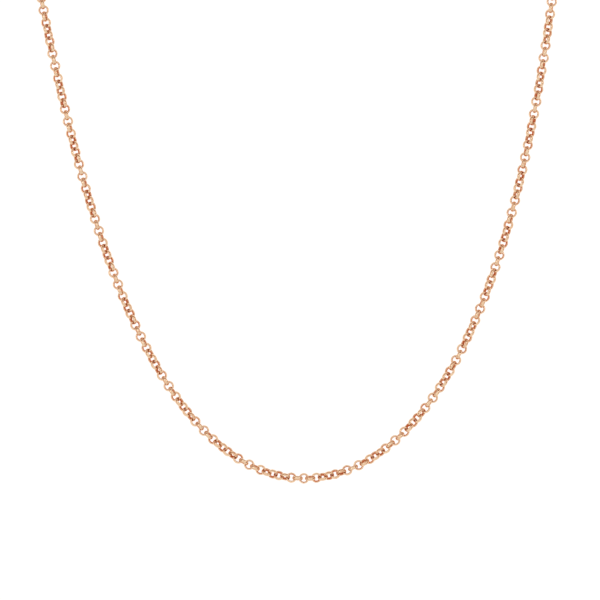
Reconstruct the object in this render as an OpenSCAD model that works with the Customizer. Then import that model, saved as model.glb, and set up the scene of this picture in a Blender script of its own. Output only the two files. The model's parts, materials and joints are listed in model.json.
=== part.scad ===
// Belcher (rolo) chain necklace with a bolt ring clasp and an end tag.
// It lies open on a flat surface, which is z = 0. The origin is on that surface, under the
// middle link of the front. +Y runs from the front of the neck to the back, +X to the right.

/* [Chain] */
// Outer diameter of one link
link_diameter = 2.44; // [2.42:0.01:2.50]
// Thickness of the link's wire, measured along the link's radius
wire_thickness = 0.46; // [0.42:0.01:0.46]
// Width of the link's wire, measured along the link's axis
wire_width = 0.80; // [0.70:0.01:0.80]
// Distance between the centres of neighbouring links
pitch = 1.46; // [1.40:0.01:1.46]
// Quarter turns that each whole side twists through, past the right angles between links
side_quarter_twists = 17; // [15:2:19]
// Twist of each link on the one before it, past the right angle, along the left leg
left_twist = 9.95; // [9:0.05:12]
// The same along the right leg
right_twist = 10.9; // [9:0.05:12]

/* [Stretches] */
// Links of the front centre stretch on each side of the middle link
centre_reach = 6; // [3:1:6]
// Links of a short stretch
short_stretch = 10; // [8:1:10]
// Links of every third stretch
long_stretch = 11; // [9:1:12]

/* [Lay] */
// Radius of the curve at the front on the left, which sets how deep the left leg hangs
left_sag = 25.8; // [24:0.1:30]
// Radius of the curve at the front on the right
right_sag = 26.9; // [24:0.1:30]
// How much the right leg straightens towards its end
right_flare = 0.0000011; // [0:0.0000001:0.0000014]
// Chain length from the middle link to where each leg turns in towards the back
leg_length = 132; // [120:1:140]
// How early the back turns in
back_square = 0.08; // [0:0.01:0.1]
// How softly the back's turn begins and ends
back_ease = 0.10; // [0:0.01:0.12]

/* [Jump rings] */
// Outer diameter of the two jump rings
jump_diameter = 2.6; // [2.5:0.1:3.0]
// Wire diameter of the jump rings
jump_wire = 0.4; // [0.35:0.01:0.42]

/* [Bolt ring] */
// Radius of the tube's centreline
bolt_ring_radius = 2.4; // [2.3:0.1:3.0]
// Outer diameter of the tube
tube_diameter = 1.4; // [1.3:0.05:1.5]
// Bore of the tube, in which the bolt slides
tube_bore = 0.92; // [0.90:0.01:0.96]
// Diameter of the bolt
bolt_diameter = 0.80; // [0.76:0.01:0.84]
// Angle that the mouth of the ring opens over
mouth_angle = 55; // [45:1:58]
// Angle that the bolt is drawn back by the thumb
bolt_travel = 62; // [60:1:64]
// Inner diameter of the eye on the ring
eye_bore = 1.1; // [1.0:0.05:1.2]
// Wire diameter of the eye
eye_wire = 0.44; // [0.40:0.01:0.46]
// Turns of the spring
spring_turns = 13; // [8:1:16]

/* [End tag] */
// Length of the tag
tag_length = 6.2; // [6.0:0.1:8.0]
// Width of the tag
tag_width = 3.2; // [3.0:0.1:3.6]
// Thickness of the tag
tag_thickness = 0.4; // [0.35:0.01:0.45]
// Radius of the hole that the bolt ring hooks into
tag_hook_hole = 1.15; // [1.0:0.05:1.2]
// Radius of the hole that the jump ring goes through
tag_ring_hole = 0.55; // [0.5:0.05:0.6]
// Metal between the jump ring's hole and the tag's end
tag_end_wall = 0.45; // [0.4:0.05:0.5]

/* [Hidden] */
rose_gold = "#E3A67B";
spring_steel = "#A9A6A2";
round_fn = 64;

// chain
links_per_side = 147;
joints_per_side = 14;
link_mean_radius = (link_diameter - wire_thickness) / 2;
side_length = links_per_side * pitch;
leg_links = round(leg_length / pitch);
// the upright links touch the surface
chain_height = link_diameter / 2;

// fittings: distances from the last link's centre, outward along the chain
jump_radius = (jump_diameter - jump_wire) / 2;
jump_height = jump_diameter / 2;
jump_hang = 0.5;
jump_at = link_mean_radius + jump_hang;
fitting_height = 0.8;
eye_radius = (eye_bore + eye_wire) / 2;
eye_hang = 0.28;
eye_at = jump_at + eye_hang + eye_radius;
solder_overlap = 0.14;
ring_at = eye_at + eye_radius + eye_wire / 2 - solder_overlap + tube_diameter / 2 + bolt_ring_radius;
tag_hang = 0.28;
tag_ring_hole_at = jump_at + tag_hang + tag_end_wall / 2 + tag_ring_hole;
tag_start = tag_ring_hole_at - tag_ring_hole - tag_end_wall;
tag_hook_hole_at = tag_start + tag_length - tag_width / 2;

// angles round the bolt ring, anticlockwise from its far side; the eye is at 180
mouth_start = 20;
mouth_end = mouth_start + mouth_angle;
socket_start = 8;
bolt_tip = 13;
bolt_tail = 150;
bore_end = 300;
thumb_at = 90;
slot_start = 82;
slot_end = thumb_at + bolt_travel + 8;
slot_width = 0.56;
cuff_angle = 6;
cuff_diameter = 1.6;
spring_start = bolt_tail + 1;
spring_end = bore_end - 1;
spring_radius = 0.32;
spring_wire = 0.1;
spring_steps_per_turn = 12;
spring_sides = 6;
thumb_stem = 0.4;
thumb_knob = 0.76;
thumb_reach = 3.4;

// left is -1 and right is 1; s is the chain length from the middle link
function leg_slope(side, s) =
    side > 0 ? s / right_sag + right_flare * pow(s, 3) : s / left_sag;
function turned(t) = t + back_square * sin(180 * t) - back_ease * sin(360 * t);
function heading(side, s) =
    let (leg_end = atan(leg_slope(side, leg_length)))
    s <= leg_length
        ? atan(leg_slope(side, s))
        : leg_end + (180 - leg_end) * turned((s - leg_length) / (side_length - leg_length));
function step_heading(side, i) = heading(side, (i + 0.5) * pitch);
function across(side) = [
    for (i = 0, x = 0; i <= links_per_side; x = x + pitch * cos(step_heading(side, i)), i = i + 1) x
];
function along(side) = [
    for (i = 0, y = 0; i <= links_per_side; y = y + pitch * sin(step_heading(side, i)), i = i + 1) y
];

right_x = across(1);
right_y = along(1);
left_x = across(-1);
left_y = along(-1);

function link_centre(side, i) =
    [side > 0 ? right_x[i] : -left_x[i], side > 0 ? right_y[i] : left_y[i], chain_height];
function leg_turn(side) = 90 + (side > 0 ? right_twist : left_twist);
// how far link i is turned about the chain's run; the back takes up what is left of the twist
function link_turn(side, i) =
    let (leg_end = leg_links * leg_turn(side),
         side_end = 90 * (links_per_side + side_quarter_twists))
    i <= leg_links
        ? i * leg_turn(side)
        : leg_end + (side_end - leg_end) * (i - leg_links) / (links_per_side - leg_links);
function outward(side, s) = side > 0 ? heading(side, s) : 180 - heading(side, s);

// the last link of each stretch, whose wire the next stretch turns on
function joint_link(k) =
    centre_reach + floor(k / 3) * (2 * short_stretch + long_stretch) + (k % 3) * short_stretch;
function last_link(k) = k < joints_per_side - 1 ? joint_link(k + 1) : links_per_side;
function stretch_name(side, k) = str(side > 0 ? "right_" : "left_", k < 9 ? "0" : "", k + 1);

// a closed ring of oval wire
module belcher_link() {
    rotate_extrude($fn = round_fn)
        translate([link_mean_radius, 0])
            scale([wire_thickness / wire_width, 1]) circle(d = wire_width, $fn = round_fn);
}

module placed_link(side, i) {
    translate(link_centre(side, i))
        rotate([0, 0, outward(side, i * pitch)])
            rotate([link_turn(side, i), 0, 0])
                belcher_link();
}

module front_centre() {
    color(rose_gold) {
        placed_link(1, 0);
        for (side = [-1, 1], i = [1:centre_reach]) placed_link(side, i);
    }
}

module stretch(side, k) {
    color(rose_gold)
        for (i = [joint_link(k) + 1:last_link(k)]) placed_link(side, i);
}

// children are drawn with the last link's centre at x = 0 and the chain running out along +x
module at_end(side) {
    end = link_centre(side, links_per_side);
    translate([end.x, end.y, 0]) rotate([0, 0, outward(side, side_length)]) children();
}

module ring(radius, wire) {
    rotate_extrude($fn = round_fn) translate([radius, 0]) circle(d = wire, $fn = round_fn);
}

// part of a ring's turn, from one angle to another
module arc(start, end, radius, wire) {
    rotate([0, 0, start])
        rotate_extrude(angle = end - start, $fn = round_fn)
            translate([radius, 0]) circle(d = wire, $fn = round_fn);
}

module jump_ring(side) {
    color(rose_gold) at_end(side)
        translate([jump_at, 0, jump_height]) rotate([90, 0, 0]) ring(jump_radius, jump_wire);
}

module clasp_eye() {
    color(rose_gold) at_end(1) translate([eye_at, 0, fitting_height]) ring(eye_radius, eye_wire);
}

module at_clasp() {
    at_end(1) translate([ring_at, 0, fitting_height]) children();
}

// tube bent into a C, with the bolt's bore, the tip's socket and the thumb piece's slot
module clasp_housing() {
    color(rose_gold) at_clasp() difference() {
        union() {
            arc(mouth_end, 360 + mouth_start, bolt_ring_radius, tube_diameter);
            arc(mouth_end, mouth_end + cuff_angle, bolt_ring_radius, cuff_diameter);
            arc(mouth_start - cuff_angle, mouth_start, bolt_ring_radius, cuff_diameter);
        }
        arc(mouth_end - 1, bore_end, bolt_ring_radius, tube_bore);
        arc(socket_start, mouth_start + 1, bolt_ring_radius, tube_bore);
        rotate([0, 0, slot_start])
            rotate_extrude(angle = slot_end - slot_start, $fn = round_fn)
                translate([bolt_ring_radius, -slot_width / 2]) square([tube_diameter, slot_width]);
    }
}

module clasp_bolt() {
    color(rose_gold) at_clasp() difference() {
        arc(bolt_tip, bolt_tail, bolt_ring_radius, bolt_diameter);
        rotate([0, 0, thumb_at]) translate([bolt_ring_radius, 0, 0]) rotate([0, 90, 0])
            cylinder(h = bolt_diameter, d = thumb_stem, $fn = round_fn);
    }
}

module clasp_thumb_piece() {
    color(rose_gold) at_clasp() rotate([0, 0, thumb_at]) {
        translate([bolt_ring_radius, 0, 0]) rotate([0, 90, 0])
            cylinder(h = thumb_reach - bolt_ring_radius, d = thumb_stem, $fn = round_fn);
        translate([thumb_reach, 0, 0]) sphere(d = thumb_knob, $fn = round_fn);
    }
}

// a coil whose own axis is bent round the ring
function coil_point(u) =
    let (a = spring_start + (spring_end - spring_start) * u,
         turn = 360 * spring_turns * u,
         reach = bolt_ring_radius + spring_radius * cos(turn))
    [reach * cos(a), reach * sin(a), spring_radius * sin(turn)];
function coil_out(u) =
    let (a = spring_start + (spring_end - spring_start) * u, turn = 360 * spring_turns * u)
    [cos(turn) * cos(a), cos(turn) * sin(a), sin(turn)];
function unit(v) = v / norm(v);
function coil_ring(u) =
    let (step = 0.001,
         out = coil_out(u),
         side = unit(cross(coil_point(u + step) - coil_point(u - step), out)))
    [for (j = [0:spring_sides - 1])
        coil_point(u) + spring_wire / 2 * (cos(360 * j / spring_sides) * out
                                           + sin(360 * j / spring_sides) * side)];

module clasp_spring() {
    rings = spring_turns * spring_steps_per_turn;
    n = spring_sides;
    color(spring_steel) at_clasp() polyhedron(
        points = [for (i = [0:rings]) each coil_ring(i / rings)],
        faces = concat(
            [[for (j = [0:n - 1]) j]],
            [for (i = [0:rings - 1], j = [0:n - 1])
                [i * n + j, (i + 1) * n + j, (i + 1) * n + (j + 1) % n, i * n + (j + 1) % n]],
            [[for (j = [n - 1:-1:0]) rings * n + j]]
        )
    );
}

module tag_hole(at, radius) {
    translate([at, 0, -1]) cylinder(h = tag_thickness + 2, r = radius, $fn = round_fn);
}

// an oval plate: the small hole takes the jump ring, the large one takes the clasp
module end_tag() {
    low = fitting_height - tag_thickness / 2;
    round_end = tag_width / 2;
    color(rose_gold) at_end(-1) translate([0, 0, low]) difference() {
        union() {
            for (x = [tag_start + round_end, tag_start + tag_length - round_end])
                translate([x, 0, 0]) cylinder(h = tag_thickness, r = round_end, $fn = round_fn);
            translate([tag_start + round_end, -round_end, 0])
                cube([tag_length - tag_width, tag_width, tag_thickness]);
        }
        tag_hole(tag_ring_hole_at, tag_ring_hole);
        tag_hole(tag_hook_hole_at, tag_hook_hole);
    }
}

front_centre();
for (side = [-1, 1], k = [0:joints_per_side - 1])
    stretch(side, k);
jump_ring(1);  // clasp_jump_ring
clasp_eye();
clasp_housing();
clasp_bolt();
clasp_thumb_piece();
clasp_spring();
jump_ring(-1);  // tag_jump_ring
end_tag();
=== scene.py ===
"""Looks of a rose gold belcher chain necklace that lies open on a pale surface.

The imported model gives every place: the links are found as the separate solids of each chain
node, and the fittings from their nodes' boxes and joints. Meshes are made in millimetres and
scaled to metres once.
"""
import json
import math
import random

import bmesh
import bpy
import numpy as np
from mathutils import Matrix, Vector


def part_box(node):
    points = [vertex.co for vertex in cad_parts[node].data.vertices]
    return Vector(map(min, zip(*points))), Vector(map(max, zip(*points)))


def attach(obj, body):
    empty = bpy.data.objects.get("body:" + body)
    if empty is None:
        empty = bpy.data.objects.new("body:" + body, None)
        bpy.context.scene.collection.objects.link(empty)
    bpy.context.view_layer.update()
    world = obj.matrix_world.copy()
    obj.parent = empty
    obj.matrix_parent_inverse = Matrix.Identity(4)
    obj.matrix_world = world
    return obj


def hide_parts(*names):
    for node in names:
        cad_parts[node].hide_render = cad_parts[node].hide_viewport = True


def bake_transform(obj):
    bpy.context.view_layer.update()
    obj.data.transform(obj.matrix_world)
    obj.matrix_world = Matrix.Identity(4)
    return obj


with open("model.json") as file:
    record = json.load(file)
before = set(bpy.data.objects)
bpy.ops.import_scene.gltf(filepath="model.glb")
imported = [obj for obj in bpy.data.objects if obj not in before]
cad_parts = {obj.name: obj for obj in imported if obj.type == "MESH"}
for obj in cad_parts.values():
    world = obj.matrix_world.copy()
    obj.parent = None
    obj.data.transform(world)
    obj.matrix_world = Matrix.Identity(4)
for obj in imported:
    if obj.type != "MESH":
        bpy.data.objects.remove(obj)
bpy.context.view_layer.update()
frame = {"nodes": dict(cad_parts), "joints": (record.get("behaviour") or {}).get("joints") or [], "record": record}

MM = 0.001
RNG = random.Random(7)

# Camera, in metres: the width in the picture, the point in its middle, and the lens's height
VIEW_WIDTH = 0.1386
VIEW_CENTRE = Vector((-0.0009, 0.0412, 0.0012))
CAMERA_HEIGHT = 1.2
SENSOR_MM = 36.0

# Low enough that no swing of a leg dips into the floor, in metres
FLOOR_HEIGHT = -0.09
FLOOR_SIZE = 8.0

# Softboxes on both sides, in metres and watts: place, size and power
SOFTBOXES = {
    "left_softbox": ((-0.55, 0.05, 0.55), (0.12, 0.5), 0.3),
    "right_softbox": ((0.6, 0.25, 0.45), (0.10, 0.5), 0.25),
}

# Studio tent: a warm band round the sides and back, and paler light at the front, near the
# horizon and overhead, with the heights or directions between which each one comes in
SIDE_LIGHT = (0.40, 0.20, 0.13, 1.0)
FRONT_LIGHT = (0.84, 0.83, 0.82, 1.0)
HORIZON_LIGHT = (0.95, 0.95, 0.95, 1.0)
OVERHEAD_LIGHT = (0.94, 0.94, 0.94, 1.0)
FRONT_EDGE = (-0.15, -0.6)
HORIZON_EDGE = (0.17, 0.08)
OVERHEAD_EDGE = (0.50, 0.74)

# Wire of the links, in millimetres
WIRE_THICKNESS = 0.46
WIRE_WIDTH = 0.80
LINK_STEPS = 56
SECTION_POINTS = 20

# A link's solder seam: where it may be round the ring, in degrees, how much it pinches the
# wire, how far round its pinch and its stain reach, and how dark the stain is
SEAM_PLACES = (90, 270)
SEAM_SCATTER = 20
SEAM_PINCH = 0.06
SEAM_REACH = 4
SEAM_STAIN_REACH = 6
SEAM_STAIN = 0.5

# Painted shade, darker and redder metal where links bear on each other, with its reach in degrees,
# and inside the ring, and how much it and the seam's stain vary from link to link
BEARING_REACH = 28
BEARING_PAINTED_SHADE = 0.55
INSIDE_PAINTED_SHADE = 0.95
STAIN_AND_SHADE_SPREAD = (-0.12, 0.2)

# Jump rings, with the place and half the width of the gap in degrees, and the clasp's eye,
# with the solder between it and the tube, in millimetres
JUMP_WIRE = 0.4
JUMP_GAP_ANGLE = 35
JUMP_GAP_HALF = 0.6
EYE_WIRE = 0.44
SOLDER_REACH = 0.10
SOLDER_SIZE = (0.15, 0.42, 0.26)
SOLDER_VOXEL = 0.03
SOLDER_SMOOTHING = 6

# Bolt ring, in millimetres, and in degrees from the side away from the chain
TUBE_RADIUS = 0.7
BORE_RADIUS = 0.46
CUFF_RADIUS = 0.8
BOLT_RADIUS = 0.40
RING_RADIUS = 2.4
MOUTH = (20, 75)
CUFF_TURN = 6
BOLT = (13, 150)
BORE_END = 300
SOCKET_START = 8
SLOT = (82, 160)
SLOT_WIDTH = 0.56
CUT_PAST = 0.6
CUT_PAST_TURN = 2
EDGE_BREAK = 0.035
THUMB_ANGLE = 90
THUMB_REACH = 3.4
THUMB_KNOB = 0.38
THUMB_STEM = 0.2
STEM_START = 0.3
COLLAR_START = 0.36
COLLAR_END = 0.33
COLLAR_STEP = 0.06
BALL_SPAN = (42, 178)
SPRING = (151, 299)
SPRING_RADIUS = 0.32
SPRING_WIRE = 0.05
SPRING_TURNS = 13
SPRING_STEPS = 20
SPRING_CLOSE_ENDS = 0.6

# End tag, in millimetres: its outline, the radii of its holes for the clasp and for the jump
# ring, the metal outside the small hole, and the rounding of its edges
TAG = {"length": 6.2, "width": 3.2, "hook": 1.15, "ring": 0.55, "wall": 0.45, "edge": 0.07}


# ---------------------------------------------------------------- mesh helpers

def ring_faces(count, around, closed_along):
    """Quads between neighbouring rings of points."""
    i = np.arange(count if closed_along else count - 1)[:, None]
    j = np.arange(around)[None, :]
    a, b, k = i * around, (i + 1) % count * around, (j + 1) % around
    return np.stack([a + j, b + j, b + k, a + k], axis=2).reshape(-1, 4)


def grid_mesh(name, rings, closed_along, caps=False):
    """A mesh from an array of rings, (rings, points, 3), with quads between neighbours."""
    count, around = rings.shape[:2]
    faces = ring_faces(count, around, closed_along).tolist()
    if caps:
        faces.append(tuple(range(around - 1, -1, -1)))
        faces.append(tuple((count - 1) * around + j for j in range(around)))
    mesh = bpy.data.meshes.new(name)
    mesh.from_pydata(rings.reshape(-1, 3).tolist(), [], faces)
    make_outward(mesh)
    return mesh


def make_outward(mesh):
    bm = bmesh.new()
    bm.from_mesh(mesh)
    bmesh.ops.recalc_face_normals(bm, faces=bm.faces)
    bm.to_mesh(mesh)
    bm.free()


def circle(radius, sides):
    turn = np.linspace(0, 2 * math.pi, sides, endpoint=False)
    return np.stack([radius * np.cos(turn), radius * np.sin(turn)], axis=1)


def swept_round(section, degrees, radius):
    """The section's (radial, axial) points, carried round Z at each of the angles."""
    turn = np.radians(degrees)[:, None]
    reach = radius + section[None, :, 0] + 0 * turn
    height = section[None, :, 1] + 0 * turn
    return np.stack([reach * np.cos(turn), reach * np.sin(turn), height], axis=2)


def arc_tube(name, start, end, radius, wire, steps, sides):
    """A round wire bent along part of a circle, with flat ends."""
    rings = swept_round(circle(wire, sides), np.linspace(start, end, steps + 1), radius)
    return grid_mesh(name, rings, closed_along=False, caps=True)


def rounded_arc(name, start, end, radius, wire, steps, sides):
    """A round wire bent along part of a circle, with domed ends."""
    dome = np.linspace(0, 90, 7)
    reach = math.degrees(wire / radius)
    first = start + reach * (1 - np.sin(np.radians(dome)))
    angles = np.concatenate([first, np.linspace(start + reach, end - reach, steps)[1:-1],
                             start + end - first[::-1]])
    size = np.concatenate([np.cos(np.radians(90 - dome)), np.ones(steps - 2),
                           np.cos(np.radians(90 - dome[::-1]))])
    # a small flat is left at each tip, so that no face has zero area
    size = np.clip(size, 0.02, 1)
    section = circle(wire, sides)
    rings = np.stack([swept_round(section * s, np.array([a]), radius)[0]
                      for s, a in zip(size, angles)])
    return grid_mesh(name, rings, closed_along=False, caps=True)


def prism(name, outline, height):
    """A solid between two copies of the outline, half the height below and above Z = 0."""
    rings = [np.c_[outline, np.full(len(outline), z)] for z in (-height / 2, height / 2)]
    return grid_mesh(name, np.stack(rings), closed_along=False, caps=True)


def lathe(name, outline, sides=32):
    """A solid turned about X from (x, radius) points."""
    rings = [np.c_[np.full(sides, x), circle(radius, sides)] for x, radius in outline]
    return grid_mesh(name, np.stack(rings), closed_along=False, caps=True)


def add_object(name, mesh):
    made = bpy.data.objects.new(name, mesh)
    bpy.context.scene.collection.objects.link(made)
    return made


def boolean(obj, cutter, operation):
    """Joins the cutter to the object or cuts it out, and removes it."""
    step = obj.modifiers.new("cut", "BOOLEAN")
    step.operation = operation
    step.solver = "EXACT"
    step.object = cutter
    apply_modifiers(obj)
    bpy.data.objects.remove(cutter)


def apply_modifiers(obj):
    depsgraph = bpy.context.evaluated_depsgraph_get()
    baked = bpy.data.meshes.new_from_object(obj.evaluated_get(depsgraph))
    obj.modifiers.clear()
    obj.data = baked


def bevelled(obj, width, segments=2, sharp_degrees=35):
    step = obj.modifiers.new("bevel", "BEVEL")
    step.width = width
    step.segments = segments
    step.limit_method = "ANGLE"
    step.angle_limit = math.radians(sharp_degrees)
    apply_modifiers(obj)


def shade(mesh, sharp_degrees):
    """Smooth shading that stops at edges sharper than the angle."""
    bm = bmesh.new()
    bm.from_mesh(mesh)
    limit = math.radians(sharp_degrees)
    for face in bm.faces:
        face.smooth = True
    for edge in bm.edges:
        edge.smooth = len(edge.link_faces) != 2 or edge.calc_face_angle(0) < limit
    bm.to_mesh(mesh)
    bm.free()


def mark_stain_and_shade(mesh, value):
    """Stores the painted shade and seam stain of each vertex, or the same value on all of them."""
    layer = mesh.attributes.new("stain_and_painted_shade", "FLOAT", "POINT")
    layer.data.foreach_set("value", np.broadcast_to(value, len(mesh.vertices)).astype(float))


# ---------------------------------------------------------------- materials

class Nodes:
    """A material's node tree, with short calls for the nodes that the looks use."""

    def __init__(self, name):
        self.material = bpy.data.materials.new(name)
        self.material.use_nodes = True
        self.tree = self.material.node_tree
        self.shader = self.tree.nodes["Principled BSDF"]
        self.point = self.tree.nodes.new("ShaderNodeNewGeometry").outputs["Position"]

    def link(self, source, target):
        self.tree.links.new(source, target)

    def noise(self, scale, detail=4.0, roughness=0.5):
        node = self.tree.nodes.new("ShaderNodeTexNoise")
        node.inputs["Scale"].default_value = scale
        node.inputs["Detail"].default_value = detail
        node.inputs["Roughness"].default_value = roughness
        self.link(self.point, node.inputs["Vector"])
        return node.outputs["Fac"]

    def spread(self, value, low, high, to_low=0.0, to_high=1.0):
        node = self.tree.nodes.new("ShaderNodeMapRange")
        for key, number in (("From Min", low), ("From Max", high),
                            ("To Min", to_low), ("To Max", to_high)):
            node.inputs[key].default_value = number
        self.link(value, node.inputs["Value"])
        return node.outputs["Result"]

    def mix(self, factor, first, second):
        """Mixes two colours, whose sockets are 6 and 7, with the result in socket 2."""
        node = self.tree.nodes.new("ShaderNodeMix")
        node.data_type = "RGBA"
        for index, value in ((0, factor), (6, first), (7, second)):
            socket = node.inputs[index]
            if isinstance(value, tuple):
                socket.default_value = value
            else:
                self.link(value, socket)
        return node.outputs[2]

    def add(self, first, second):
        node = self.tree.nodes.new("ShaderNodeMath")
        node.operation = "ADD"
        self.link(first, node.inputs[0])
        self.link(second, node.inputs[1])
        return node.outputs[0]

    def attribute(self, name):
        node = self.tree.nodes.new("ShaderNodeAttribute")
        node.attribute_name = name
        return node.outputs["Fac"]

    def bump(self, height, strength, distance):
        node = self.tree.nodes.new("ShaderNodeBump")
        node.inputs["Strength"].default_value = strength
        node.inputs["Distance"].default_value = distance
        self.link(height, node.inputs["Height"])
        self.link(node.outputs["Normal"], self.shader.inputs["Normal"])


def rose_gold(name, polish):
    """Polished rose gold alloy: fine polishing marks, tint that varies a little, and redder,
    rougher metal with painted shade inside the links and where they touch, and stain at each solder seam."""
    n = Nodes(name)
    n.shader.inputs["Metallic"].default_value = 1.0
    n.shader.inputs["Specular Tint"].default_value = (0.92, 0.72, 0.56, 1.0)
    light = (0.90, 0.68, 0.465, 1.0)
    deep = (0.86, 0.58, 0.37, 1.0)
    # dark red painted shade for the insides of links and where they touch, also the colour of the seam's stain
    stain_and_painted_shade = (0.62, 0.145, 0.040, 1.0)
    tint = n.mix(n.spread(n.noise(420, 3), 0.3, 0.7), light, deep)
    uneven = n.spread(n.noise(2600, 2), 0.3, 0.7, -0.2, 0.2)
    stain_and_shade_amount = n.spread(n.add(n.attribute("stain_and_painted_shade"), uneven), 0.25, 1.1)
    n.link(n.mix(stain_and_shade_amount, tint, stain_and_painted_shade), n.shader.inputs["Base Color"])
    marks = n.add(n.spread(n.noise(5200, 4, 0.6), 0.35, 0.75, polish, polish + 0.14),
                  n.spread(stain_and_shade_amount, 0.0, 1.0, 0.0, 0.22))
    n.link(marks, n.shader.inputs["Roughness"])
    n.bump(n.noise(7000, 3, 0.6), 0.25, 0.00001)
    return n.material


def spring_steel():
    n = Nodes("spring_steel")
    n.shader.inputs["Metallic"].default_value = 1.0
    bright, dull = (0.52, 0.51, 0.50, 1.0), (0.36, 0.35, 0.34, 1.0)
    n.link(n.mix(n.spread(n.noise(3000), 0.3, 0.7), bright, dull), n.shader.inputs["Base Color"])
    n.link(n.spread(n.noise(9000), 0.3, 0.7, 0.22, 0.4), n.shader.inputs["Roughness"])
    return n.material


def pale_floor():
    n = Nodes("floor")
    light, dark = (0.37, 0.37, 0.37, 1.0), (0.35, 0.35, 0.35, 1.0)
    n.link(n.mix(n.spread(n.noise(6, 2), 0.3, 0.7), light, dark), n.shader.inputs["Base Color"])
    n.shader.inputs["Roughness"].default_value = 0.9
    n.shader.inputs["Specular IOR Level"].default_value = 0.0
    n.shader.inputs["Emission Color"].default_value = (1.0, 1.0, 1.0, 1.0)
    n.shader.inputs["Emission Strength"].default_value = 0.77
    return n.material


# ---------------------------------------------------------------- reading the frame

def separate_solids(obj):
    """The node's separate solids, each an array of its triangles' corners in millimetres."""
    mesh = obj.data
    mesh.calc_loop_triangles()
    points = np.zeros(len(mesh.vertices) * 3)
    mesh.vertices.foreach_get("co", points)
    points = points.reshape(-1, 3) / MM
    corners = np.zeros(len(mesh.loop_triangles) * 3, int)
    mesh.loop_triangles.foreach_get("vertices", corners)
    corners = corners.reshape(-1, 3)
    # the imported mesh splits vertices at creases, so corners that share a place are joined first
    _, same = np.unique(np.round(points, 5), axis=0, return_inverse=True)
    joined = same.reshape(-1)[corners]
    label = np.arange(joined.max() + 1)
    while True:
        spread = label.copy()
        least = label[joined].min(1)
        for corner in joined.T:
            np.minimum.at(spread, corner, least)
        spread = spread[spread]
        if (spread == label).all():
            break
        label = spread
    group = label[joined[:, 0]]
    return [points[corners[group == g]] for g in np.unique(group)]


def centre_and_axis(triangles):
    """The volume's centre, and the direction that it spreads least in, a flat ring's axis."""
    a, b, c = triangles[:, 0], triangles[:, 1], triangles[:, 2]
    volume = np.einsum("ij,ij->i", a, np.cross(b, c)) / 6
    centre = (volume[:, None] * (a + b + c) / 4).sum(0) / volume.sum()
    a, b, c = a - centre, b - centre, c - centre
    volume = np.einsum("ij,ij->i", a, np.cross(b, c)) / 6
    total = a + b + c
    second = sum(np.einsum("i,ij,ik->jk", volume, p, p) for p in (a, b, c, total)) / 20
    return centre, np.linalg.eigh(second)[1][:, 0]


def ring_place(triangles, along):
    """A matrix that lays a flat ring where the solid is, with its +X along the direction."""
    centre, axis = centre_and_axis(triangles)
    x = np.array(along) - np.dot(along, axis) * axis
    x /= np.linalg.norm(x)
    turn = Matrix(np.stack([x, np.cross(axis, x), axis], axis=1).tolist()).to_4x4()
    return Matrix.Translation(Vector(centre)) @ turn


def moved(place, points):
    """The (n, 3) points, carried by the matrix."""
    return (np.array(place) @ np.c_[points, np.ones(len(points))].T)[:3].T


def outer_radius(triangles, place):
    """How far the solid reaches from the ring's axis."""
    local = moved(place.inverted(), triangles.reshape(-1, 3))
    return float(np.hypot(local[:, 0], local[:, 1]).max())


# ---------------------------------------------------------------- the chain

def wire_section():
    """The (radial, axial) points of the oval wire."""
    return circle(0.5, SECTION_POINTS) * (WIRE_THICKNESS, WIRE_WIDTH)


def link_shape(outside, seam_angle):
    """One link as rings of points, pinched a little at its solder seam, and its painted shade,
    strongest inside the ring and where it bears on its neighbours, with a stain at the seam."""
    radius = outside - WIRE_THICKNESS / 2
    degrees = np.linspace(0, 360, LINK_STEPS, endpoint=False)
    off = (degrees - seam_angle + 180) % 360 - 180
    pinch = 1 - SEAM_PINCH * np.exp(-(off / SEAM_REACH) ** 2)
    middle = swept_round(np.zeros((1, 2)), degrees, radius)
    section = wire_section()
    rings = middle + (swept_round(section, degrees, radius) - middle) * pinch[:, None, None]
    # painted shade: darker inside the ring and where the link bears on its neighbours; the seam's stain is a real
    # mark
    inner = np.clip(-2 * section[:, 0] / WIRE_THICKNESS, 0, 1)[None, :]
    seam = np.exp(-(off / SEAM_STAIN_REACH) ** 2)[:, None]
    bearing = np.exp(-(((degrees + 90) % 180 - 90) / BEARING_REACH) ** 2)[:, None]
    bearing_painted_shade = bearing * (BEARING_PAINTED_SHADE + (1 - BEARING_PAINTED_SHADE) * inner)
    return rings, np.maximum(np.maximum(INSIDE_PAINTED_SHADE * inner, SEAM_STAIN * seam), bearing_painted_shade)


def chain_stretch(node, metal):
    """All the links of one chain node as one piece, which stands for the node."""
    solids = separate_solids(frame["nodes"][node])
    centres = np.array([centre_and_axis(s)[0] for s in solids])
    points, stain_and_painted_shade, faces = [], [], []
    for n, solid in enumerate(solids):
        # the nearest centre is the link's own, and the next one is a neighbour's
        near = centres[np.argsort(np.linalg.norm(centres - centres[n], axis=1))[:2]]
        place = ring_place(solid, near[1] - near[0])
        seam_angle = RNG.choice(SEAM_PLACES) + RNG.uniform(-SEAM_SCATTER, SEAM_SCATTER)
        rings, link_stain_and_shade = link_shape(outer_radius(solid, place), seam_angle)
        flat = rings.reshape(-1, 3)
        points.append(moved(place, flat) * MM)
        # each link's painted shade and seam stain, shifted a little for the link
        stain_and_painted_shade.append(link_stain_and_shade.reshape(-1) + RNG.uniform(*STAIN_AND_SHADE_SPREAD))
        faces.append(ring_faces(LINK_STEPS, SECTION_POINTS, True) + n * len(flat))
    mesh = bpy.data.meshes.new("links_" + node)
    mesh.from_pydata(np.concatenate(points).tolist(), [], np.concatenate(faces).tolist())
    mark_stain_and_shade(mesh, np.concatenate(stain_and_painted_shade))
    mesh.shade_smooth()
    mesh.materials.append(metal)
    return add_object("links_" + node, mesh)


# ---------------------------------------------------------------- fittings

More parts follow.
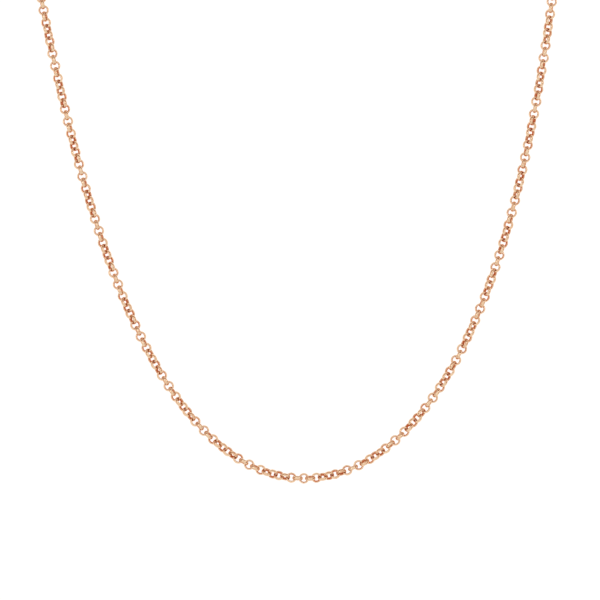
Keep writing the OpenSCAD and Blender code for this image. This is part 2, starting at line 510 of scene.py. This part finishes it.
def finish_piece(obj, place, metal, sharp_degrees=40):
    """Puts a fitting in its place, and gives it its shading and its metal."""
    obj.data.transform(Matrix.Scale(MM, 4) @ place)
    mark_stain_and_shade(obj.data, 0.0)
    shade(obj.data, sharp_degrees)
    obj.data.materials.clear()
    obj.data.materials.append(metal)
    return obj


def node_place(node):
    """The place of a node that is one ring, and its solid."""
    solid = separate_solids(frame["nodes"][node])[0]
    return ring_place(solid, (1.0, 0.0, 0.0)), solid


def jump_ring(name, node, metal):
    """A ring of round wire, closed by a butt joint whose fine gap still shows."""
    place, solid = node_place(node)
    wire = JUMP_WIRE / 2
    start, end = JUMP_GAP_ANGLE + JUMP_GAP_HALF, JUMP_GAP_ANGLE + 360 - JUMP_GAP_HALF
    mesh = arc_tube(name, start, end, outer_radius(solid, place) - wire, wire, 90, 20)
    return finish_piece(add_object(name, mesh), place, metal)


def clasp_place():
    """Where the bolt ring's centre is, with +X pointing away from the chain's end."""
    pivot = next(j for j in frame["joints"] if j["name"] == "bolt_pull")["pos_m"]
    eye_low, eye_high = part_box("clasp_eye")
    out = Vector(pivot) - (eye_low + eye_high) / 2
    turn = Matrix.Rotation(math.atan2(out.y, out.x), 4, "Z")
    return Matrix.Translation(Vector(pivot) / MM) @ turn


def clasp_eye(metal):
    """The soldered eye, with the fillet of solder where it meets the tube."""
    place, solid = node_place("clasp_eye")
    wire = EYE_WIRE / 2
    radius = outer_radius(solid, place) - wire
    ring = swept_round(circle(wire, 20), np.linspace(0, 360, 72, endpoint=False), radius)
    piece = add_object("clasp_eye_ring", grid_mesh("eye", ring, closed_along=True))
    toward_tube = (place.inverted() @ clasp_place().translation).normalized()
    solder = bpy.data.meshes.new("solder")
    bm = bmesh.new()
    shape = (Matrix.Translation(toward_tube * (radius + SOLDER_REACH))
             @ toward_tube.to_track_quat("X", "Z").to_matrix().to_4x4()
             @ Matrix.Diagonal((*SOLDER_SIZE, 1.0)))
    bmesh.ops.create_icosphere(bm, subdivisions=4, radius=1.0, matrix=shape)
    bm.to_mesh(solder)
    bm.free()
    boolean(piece, add_object("solder", solder), "UNION")
    remesh = piece.modifiers.new("even", "REMESH")
    remesh.mode = "VOXEL"
    remesh.voxel_size = SOLDER_VOXEL
    smooth = piece.modifiers.new("fillet", "SMOOTH")
    smooth.iterations = SOLDER_SMOOTHING
    apply_modifiers(piece)
    return finish_piece(piece, place, metal, sharp_degrees=180)


def clasp_housing(metal):
    """The tube, bent into a C: bore, socket for the bolt's tip, slot and rolled cuffs."""
    tube = arc_tube("tube", MOUTH[1], 360 + MOUTH[0], RING_RADIUS, TUBE_RADIUS, 120, 32)
    body = add_object("clasp_tube", tube)
    for start in (MOUTH[1], MOUTH[0] - CUFF_TURN):
        cuff = arc_tube("cuff", start, start + CUFF_TURN, RING_RADIUS, CUFF_RADIUS, 6, 32)
        boolean(body, add_object("cuff", cuff), "UNION")
    bores = ((MOUTH[1] - CUT_PAST_TURN, BORE_END), (SOCKET_START, MOUTH[0] + CUT_PAST_TURN))
    for start, end in bores:
        bore = arc_tube("bore", start, end, RING_RADIUS, BORE_RADIUS, 90, 28)
        boolean(body, add_object("bore", bore), "DIFFERENCE")
    corners = np.array([[0, -1], [1, -1], [1, 1], [0, 1]])
    section = corners * (TUBE_RADIUS + CUT_PAST, SLOT_WIDTH / 2)
    slot = swept_round(section, np.linspace(*SLOT, 40), RING_RADIUS)
    slot = grid_mesh("slot", slot, closed_along=False, caps=True)
    boolean(body, add_object("slot", slot), "DIFFERENCE")
    bevelled(body, EDGE_BREAK)
    return finish_piece(body, clasp_place(), metal)


def clasp_bolt(metal):
    rod = rounded_arc("bolt", *BOLT, RING_RADIUS, BOLT_RADIUS, 60, 28)
    return finish_piece(add_object("clasp_bolt_rod", rod), clasp_place(), metal)


def thumb_piece(metal):
    """A stem with a small collar and a ball."""
    stem = [(RING_RADIUS + STEM_START, THUMB_STEM), (THUMB_REACH - COLLAR_START, THUMB_STEM),
            (THUMB_REACH - COLLAR_END, THUMB_STEM + COLLAR_STEP)]
    ball = [(THUMB_REACH - THUMB_KNOB * math.cos(t), THUMB_KNOB * math.sin(t))
            for t in np.radians(np.linspace(*BALL_SPAN, 18))]
    piece = add_object("clasp_thumb_ball", lathe("thumb", stem + ball))
    turn = Matrix.Rotation(math.radians(THUMB_ANGLE), 4, "Z")
    return finish_piece(piece, clasp_place() @ turn, metal)


def clasp_spring(metal):
    """A coil whose axis is bent round the ring, behind the bolt, with closer turns at its ends."""
    share = np.linspace(0, 1, SPRING_TURNS * SPRING_STEPS + 1)
    even = share - SPRING_CLOSE_ENDS * np.sin(2 * math.pi * share) / (2 * math.pi)
    a = np.radians(SPRING[0] + (SPRING[1] - SPRING[0]) * even)
    turn = 2 * math.pi * SPRING_TURNS * share
    radial = np.stack([np.cos(a), np.sin(a), 0 * a], axis=1)
    up = np.array([0.0, 0.0, 1.0])
    out = np.cos(turn)[:, None] * radial + np.sin(turn)[:, None] * up
    line = RING_RADIUS * radial + SPRING_RADIUS * out
    ahead = np.gradient(line, axis=0)
    side = np.cross(ahead, out)
    side /= np.linalg.norm(side, axis=1)[:, None]
    ring = circle(SPRING_WIRE, 10)
    rings = (line[:, None] + ring[None, :, :1] * out[:, None]
             + ring[None, :, 1:] * side[:, None])
    coil = grid_mesh("spring", rings, closed_along=False, caps=True)
    return finish_piece(add_object("clasp_coil_spring", coil), clasp_place(), metal)


def spring_between_bolt_and_bore(spring):
    """Bakes the coil's place into its mesh and hides the imported spring that it replaces."""
    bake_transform(spring)
    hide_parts("clasp_spring")


def end_tag(metal):
    """An oval plate with rounded edges, a small hole and a large one."""
    low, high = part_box("end_tag")
    middle = (low + high) / 2 / MM
    thickness = (high.z - low.z) / MM
    half_width = TAG["width"] / 2
    reach = TAG["length"] / 2 - half_width
    end = np.radians(np.linspace(-90, 90, 33))
    far = np.stack([reach + half_width * np.cos(end), half_width * np.sin(end)], axis=1)
    outline = np.concatenate([far, -far])
    plate = add_object("end_tag_plate", prism("tag", outline, thickness))
    small_hole = TAG["wall"] + TAG["ring"] - TAG["length"] / 2
    for x, radius in ((reach, TAG["hook"]), (small_hole, TAG["ring"])):
        hole = prism("hole", circle(radius, 64) + (x, 0), 2)
        boolean(plate, add_object("hole", hole), "DIFFERENCE")
    bevelled(plate, TAG["edge"], 3)
    # the small hole's end is the one that the jump ring is on
    ring_low, ring_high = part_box("tag_jump_ring")
    turn = 0.0 if (ring_low + ring_high).x / 2 / MM < middle.x else math.pi
    return finish_piece(plate, Matrix.Translation(middle) @ Matrix.Rotation(turn, 4, "Z"), metal)


# ---------------------------------------------------------------- stage

def softbox(name, place, size, power):
    """A soft rectangular light that faces the middle of the view."""
    lamp = bpy.data.lights.new(name, "AREA")
    lamp.shape = "RECTANGLE"
    lamp.size, lamp.size_y = size
    lamp.energy = power
    made = bpy.data.objects.new(name, lamp)
    made.location = place
    made.rotation_euler = (VIEW_CENTRE - Vector(place)).to_track_quat("-Z", "Y").to_euler()
    bpy.context.scene.collection.objects.link(made)


def sky():
    """A soft tent: pale overhead, in front and along the horizon, with a warm band between."""
    world = bpy.data.worlds.new("studio")
    bpy.context.scene.world = world
    world.use_nodes = True
    tree = world.node_tree
    way = tree.nodes.new("ShaderNodeSeparateXYZ")
    tree.links.new(tree.nodes.new("ShaderNodeTexCoord").outputs["Generated"], way.inputs[0])
    colour = SIDE_LIGHT
    regions = (("Y", FRONT_EDGE, FRONT_LIGHT), ("Z", HORIZON_EDGE, HORIZON_LIGHT),
               ("Z", OVERHEAD_EDGE, OVERHEAD_LIGHT))
    for axis, (low, high), light in regions:
        edge = tree.nodes.new("ShaderNodeMapRange")
        edge.interpolation_type = "SMOOTHSTEP"
        edge.inputs["From Min"].default_value = low
        edge.inputs["From Max"].default_value = high
        tree.links.new(way.outputs[axis], edge.inputs["Value"])
        mix = tree.nodes.new("ShaderNodeMix")
        mix.data_type = "RGBA"
        tree.links.new(edge.outputs["Result"], mix.inputs[0])
        if isinstance(colour, tuple):
            mix.inputs[6].default_value = colour
        else:
            tree.links.new(colour, mix.inputs[6])
        mix.inputs[7].default_value = light
        colour = mix.outputs[2]
    tree.links.new(colour, tree.nodes["Background"].inputs["Color"])


def studio():
    sky()
    for name, (place, size, power) in SOFTBOXES.items():
        softbox(name, place, size, power)
    bpy.context.scene.view_settings.view_transform = "Standard"

    bpy.ops.mesh.primitive_plane_add(size=FLOOR_SIZE, location=(0, 0, FLOOR_HEIGHT))
    floor = bpy.context.object
    floor.name = "floor"
    floor.data.materials.append(pale_floor())


def camera():
    """Looks straight down, from far enough away that the chain shows little perspective."""
    lens = bpy.data.cameras.new("camera")
    lens.sensor_width = SENSOR_MM
    lens.lens = SENSOR_MM * CAMERA_HEIGHT / VIEW_WIDTH
    lens.clip_start = 0.01
    made = bpy.data.objects.new("camera", lens)
    made.location = VIEW_CENTRE + Vector((0, 0, CAMERA_HEIGHT))
    bpy.context.scene.collection.objects.link(made)
    bpy.context.scene.camera = made


# ---------------------------------------------------------------- build

def stand_for(piece, node):
    """Lets the piece replace the node in the looks, and move with the node's body."""
    body = next(b for b, nodes in frame["record"]["behaviour"]["bodies"].items() if node in nodes)
    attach(piece, body)
    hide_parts(node)


def build():
    camera()
    studio()
    chain_metal = rose_gold("chain_gold", 0.10)
    fitting_metal = rose_gold("fittings_gold", 0.07)
    steel = spring_steel()
    for node in sorted(frame["nodes"]):
        if node == "front_centre" or node.startswith(("left_", "right_")):
            stand_for(chain_stretch(node, chain_metal), node)
    for node in ("clasp_jump_ring", "tag_jump_ring"):
        stand_for(jump_ring(node + "_wire", node, fitting_metal), node)
    stand_for(clasp_eye(fitting_metal), "clasp_eye")
    stand_for(clasp_housing(fitting_metal), "clasp_housing")
    stand_for(clasp_bolt(fitting_metal), "clasp_bolt")
    stand_for(thumb_piece(fitting_metal), "clasp_thumb_piece")
    spring_between_bolt_and_bore(clasp_spring(steel))
    stand_for(end_tag(fitting_metal), "end_tag")


build()
